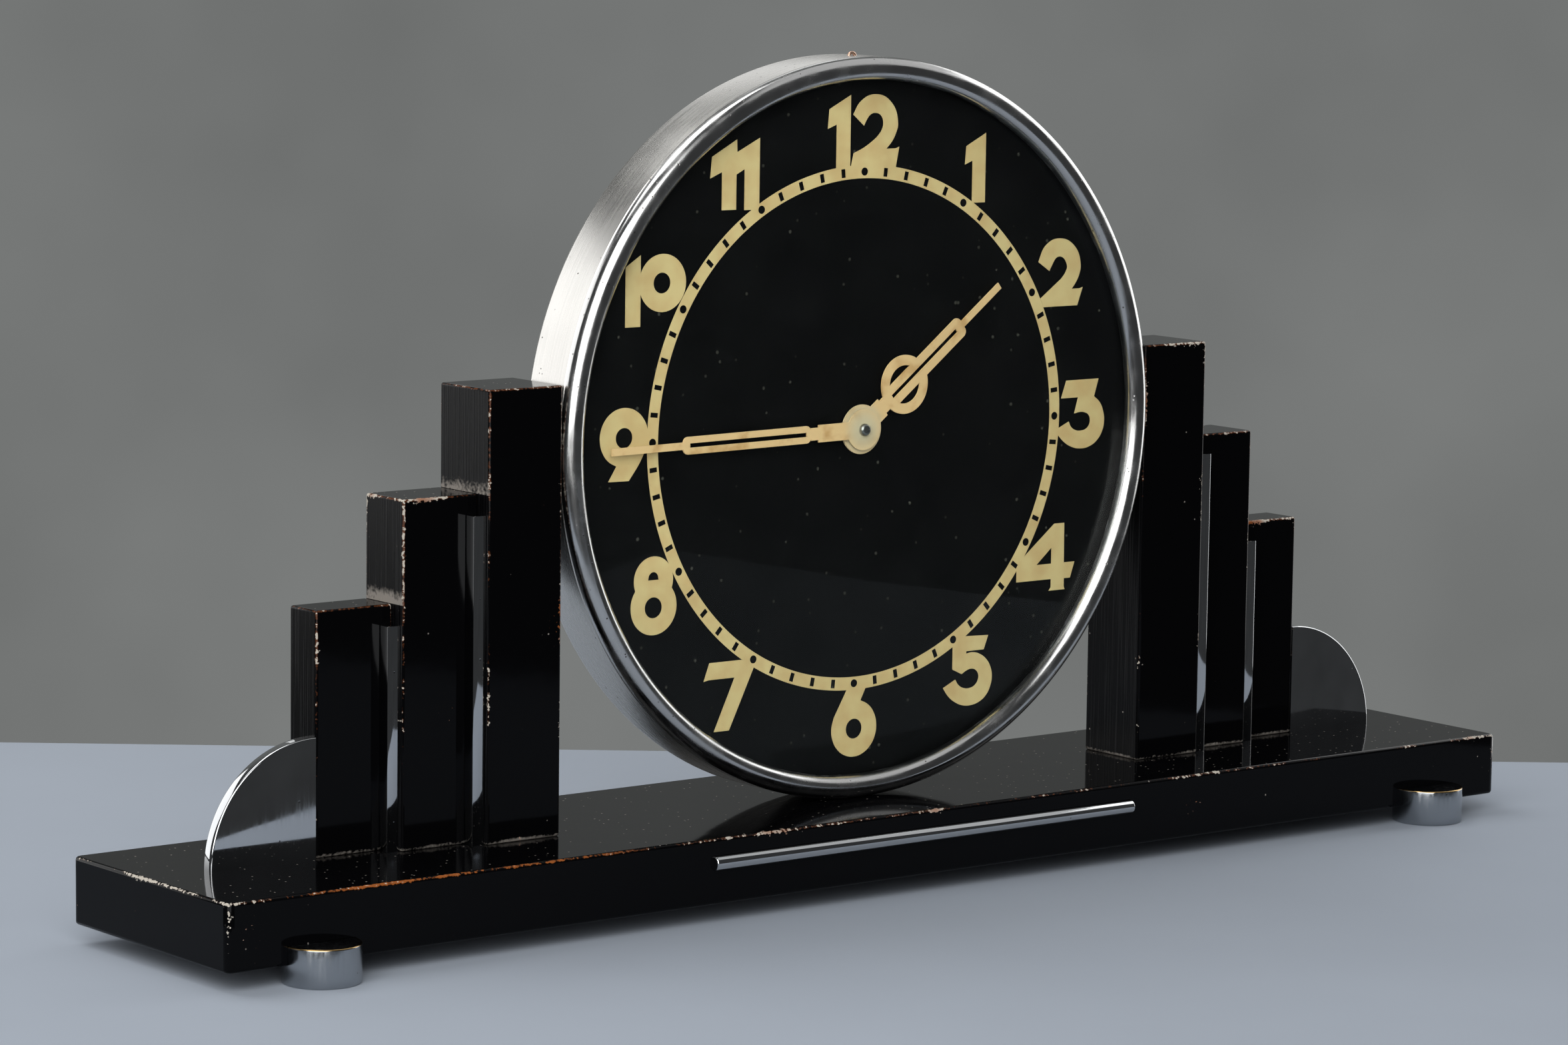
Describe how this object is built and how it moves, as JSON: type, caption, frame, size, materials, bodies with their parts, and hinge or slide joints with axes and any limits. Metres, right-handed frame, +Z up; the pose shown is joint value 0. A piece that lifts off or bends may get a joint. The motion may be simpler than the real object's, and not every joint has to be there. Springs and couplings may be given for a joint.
{
  "type": "mantel clock",
  "caption": "Stepped mantel clock: round chrome drum with convex glass, black dial and pierced hands between black wooden columns on a long base with chrome trim.",
  "frame": {"origin": "on the floor under the middle of the base", "axes": "+X to the clock's right as seen from the front, -Y towards the viewer, +Z up"},
  "size_m": [0.391, 0.084, 0.2011],
  "materials": {
    "lacquered_wood": "gloss black lacquer with worn edges",
    "chrome_trim": "polished chrome plate",
    "foot_chrome": "chrome plate, brassy where worn",
    "drum_metal": "satin plated sheet",
    "bezel_chrome": "worn chrome plate",
    "clear_glass": "clear",
    "dial_black": "satin black paint",
    "hand_cream": "cream paint",
    "copper_wire": "tarnished",
    "steel": "plain steel",
    "brass": "plain brass"
  },
  "bodies": {
    "case": {"base_board": "lacquered_wood", "inner_column_left": "lacquered_wood", "middle_column_left": "lacquered_wood", "outer_column_left": "lacquered_wood", "inner_column_right": "lacquered_wood", "middle_column_right": "lacquered_wood", "outer_column_right": "lacquered_wood", "inner_strip_left": "chrome_trim", "outer_strip_left": "chrome_trim", "inner_strip_right": "chrome_trim", "outer_strip_right": "chrome_trim", "quarter_disc_left": "chrome_trim", "quarter_disc_right": "chrome_trim", "front_rod": "chrome_trim", "front_left_foot": "foot_chrome", "front_right_foot": "foot_chrome", "rear_left_foot": "foot_chrome", "rear_right_foot": "foot_chrome", "column_screws": "steel", "foot_screws": "steel", "drum_bolt": "steel", "drum_nut": "steel", "drum_case": "drum_metal", "front_bezel": "bezel_chrome", "glass": "clear_glass", "dial": "dial_black", "top_staple": "copper_wire", "rear_cover": "drum_metal", "cover_screws": "steel", "movement_posts": "steel", "front_plate": "brass", "back_plate": "brass", "plate_pillars": "brass", "plate_nuts": "brass", "minute_stud": "steel", "click": "steel", "hairspring": "steel", "hairspring_stud": "brass"},
    "centre_arbor": {"centre_arbor": "steel", "cannon_pinion": "steel", "minute_hand": "hand_cream", "hand_pin": "steel", "set_knob": "brass"},
    "hour_hand": {"hour_wheel": "brass", "hour_hand": "hand_cream"},
    "minute_wheel": {"minute_wheel": "brass"},
    "third_wheel": {"third_wheel": "brass"},
    "centre_wheel": {"centre_wheel": "brass"},
    "fourth_wheel": {"fourth_wheel": "brass"},
    "escape_wheel": {"escape_wheel": "brass"},
    "barrel": {"barrel": "brass", "barrel_cover": "brass", "mainspring": "steel"},
    "winding_arbor": {"barrel_arbor": "steel", "ratchet_wheel": "steel", "winding_key": "steel"},
    "pallet_lever": {"pallet_lever": "steel"},
    "balance_wheel": {"balance_wheel": "brass"},
    "regulator": {"regulator": "steel"}
  },
  "joints": [
    {"name": "minute_hand_turn", "type": "hinge", "parent": "case", "child": "centre_arbor", "pos_m": [0, 0, 0.1102], "axis": [0, 1, 0], "continuous": true},
    {"name": "hour_hand_turn", "type": "hinge", "parent": "case", "child": "hour_hand", "pos_m": [0, 0, 0.1102], "axis": [0, 1, 0], "continuous": true},
    {"name": "minute_wheel_turn", "type": "hinge", "parent": "case", "child": "minute_wheel", "pos_m": [0.0048, 0, 0.10189], "axis": [0, 1, 0], "continuous": true},
    {"name": "barrel_turn", "type": "hinge", "parent": "case", "child": "barrel", "pos_m": [-0.01327, 0, 0.09738], "axis": [0, 1, 0], "continuous": true},
    {"name": "centre_wheel_turn", "type": "hinge", "parent": "case", "child": "centre_wheel", "pos_m": [0, 0, 0.1102], "axis": [0, 1, 0], "continuous": true},
    {"name": "third_wheel_turn", "type": "hinge", "parent": "case", "child": "third_wheel", "pos_m": [0.01278, 0, 0.11485], "axis": [0, 1, 0], "continuous": true},
    {"name": "fourth_wheel_turn", "type": "hinge", "parent": "case", "child": "fourth_wheel", "pos_m": [0.00943, 0, 0.12737], "axis": [0, 1, 0], "continuous": true},
    {"name": "escape_wheel_turn", "type": "hinge", "parent": "case", "child": "escape_wheel", "pos_m": [-0.00109, 0, 0.12829], "axis": [0, 1, 0], "continuous": true},
    {"name": "winding", "type": "hinge", "parent": "case", "child": "winding_arbor", "pos_m": [-0.01327, 0, 0.09738], "axis": [0, 1, 0], "continuous": true},
    {"name": "lever_swing", "type": "hinge", "parent": "case", "child": "pallet_lever", "pos_m": [-0.00809, 0, 0.12829], "axis": [0, 1, 0], "range_deg": [-5, 5]},
    {"name": "balance_swing", "type": "hinge", "parent": "case", "child": "balance_wheel", "pos_m": [-0.01749, 0, 0.12829], "axis": [0, 1, 0], "range_deg": [-200, 200], "stiffness_Nm_per_rad": 0.00007},
    {"name": "regulator_swing", "type": "hinge", "parent": "case", "child": "regulator", "pos_m": [-0.01749, 0, 0.12829], "axis": [0, 1, 0], "range_deg": [-15, 15]}
  ],
  "couplings": [
    {"joint": "hour_hand_turn", "follows": "minute_hand_turn", "ratio": 0.083333},
    {"joint": "minute_wheel_turn", "follows": "minute_hand_turn", "ratio": -0.33333},
    {"joint": "centre_wheel_turn", "follows": "barrel_turn", "ratio": -7.2},
    {"joint": "third_wheel_turn", "follows": "barrel_turn", "ratio": 54},
    {"joint": "fourth_wheel_turn", "follows": "barrel_turn", "ratio": -432},
    {"joint": "escape_wheel_turn", "follows": "barrel_turn", "ratio": 4320}
  ]
}
